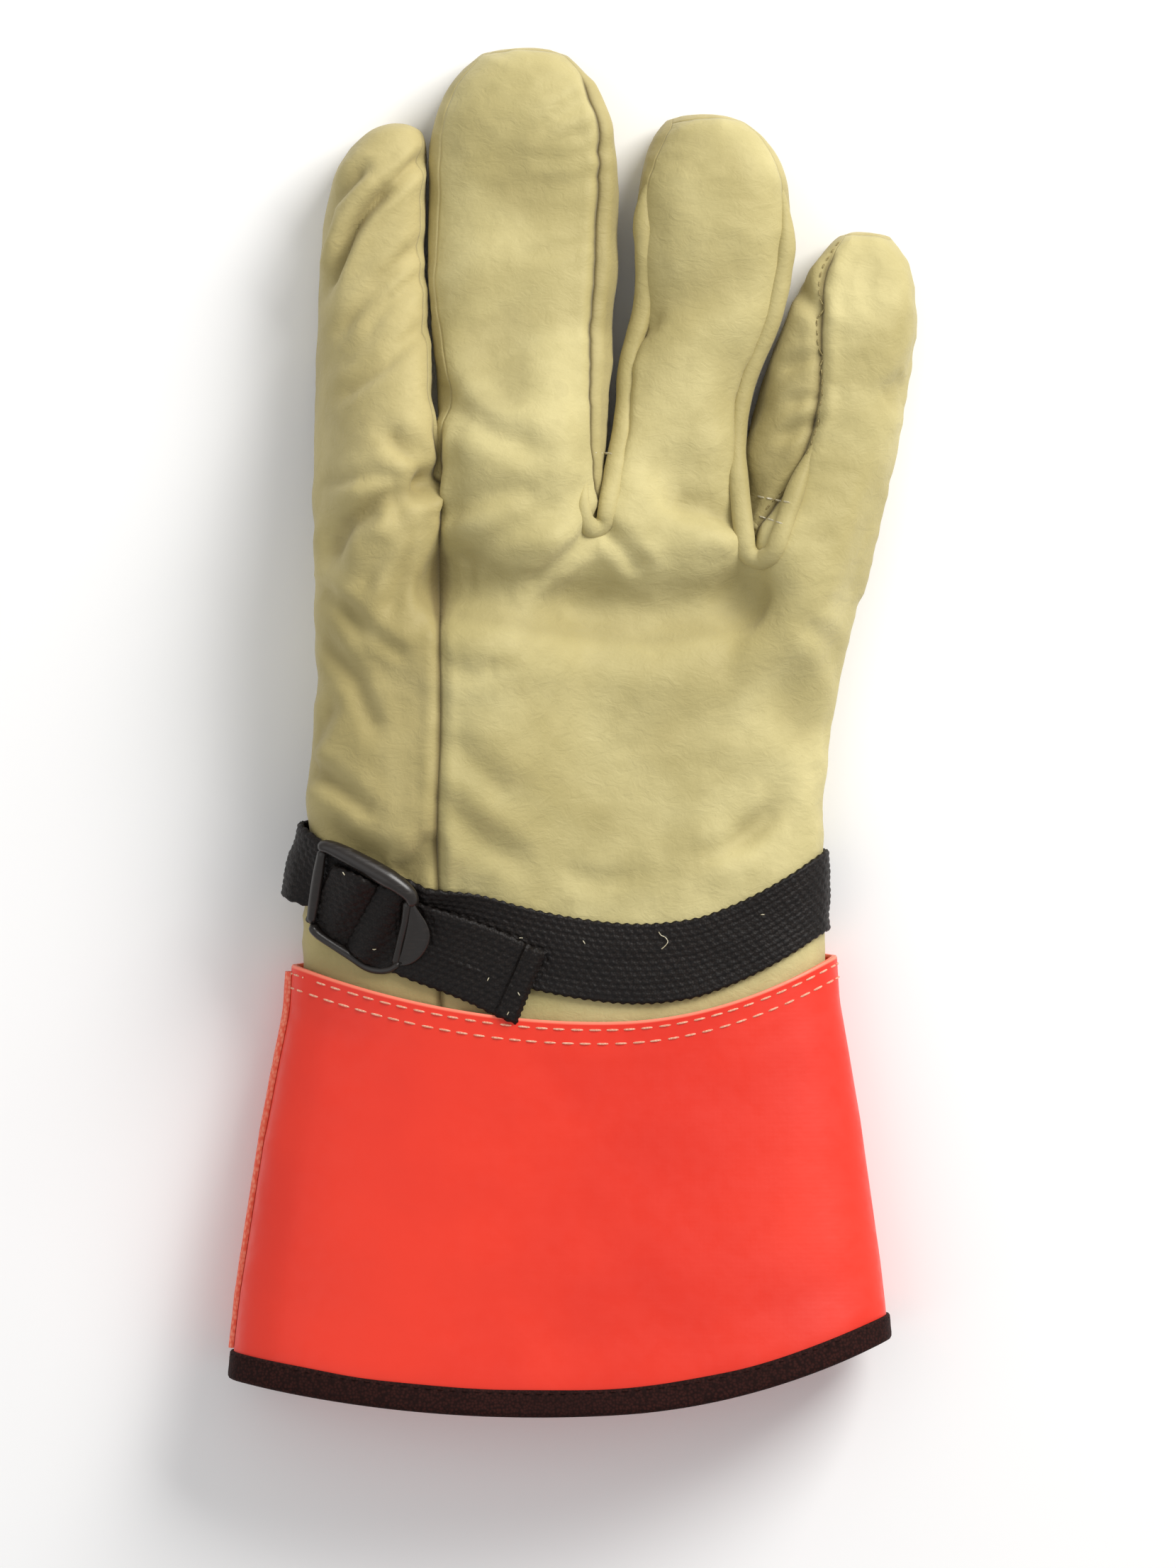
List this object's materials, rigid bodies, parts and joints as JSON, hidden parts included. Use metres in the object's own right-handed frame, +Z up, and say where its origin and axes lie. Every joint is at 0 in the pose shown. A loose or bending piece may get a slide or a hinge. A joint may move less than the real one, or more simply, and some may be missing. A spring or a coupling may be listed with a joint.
{
  "type": "leather protector glove",
  "caption": "Cream leather protector glove lying palm down, with an orange coated gauntlet cuff, dark bound hem and a webbing wrist strap fastened through a plastic ladder-lock buckle.",
  "frame": {"origin": "middle of the glove's box, on the surface it lies on", "axes": "+Y from the cuff's hem towards the fingertips, +X towards the little finger's side, +Z up from the surface through the back of the hand"},
  "size_m": [0.1654, 0.3288, 0.041],
  "materials": {
    "back_leather": "smooth natural grain, matt, worn",
    "palm_leather": "smooth natural grain, matt, worn",
    "side_leather": "smooth natural grain, matt",
    "thumb_leather": "smooth natural grain, matt",
    "coated_fabric": "fabric with a smooth bright orange coating",
    "welt_tape": "cut edge of the coated fabric",
    "hem_ribbon": "dark brown woven ribbon",
    "strap_webbing": "black ribbed webbing",
    "buckle_plastic": "dark moulded plastic, worn edges"
  },
  "bodies": {
    "root": {"back_panel": "back_leather", "palm_panel": "palm_leather", "fourchette_index_middle": "side_leather", "fourchette_middle_ring": "side_leather", "fourchette_ring_little": "side_leather", "thumb": "thumb_leather", "cuff": "coated_fabric", "cuff_side_welt": "welt_tape", "hem_binding": "hem_ribbon", "wrist_strap": "strap_webbing", "strap_tail": "strap_webbing", "buckle": "buckle_plastic"}
  },
  "joints": []
}
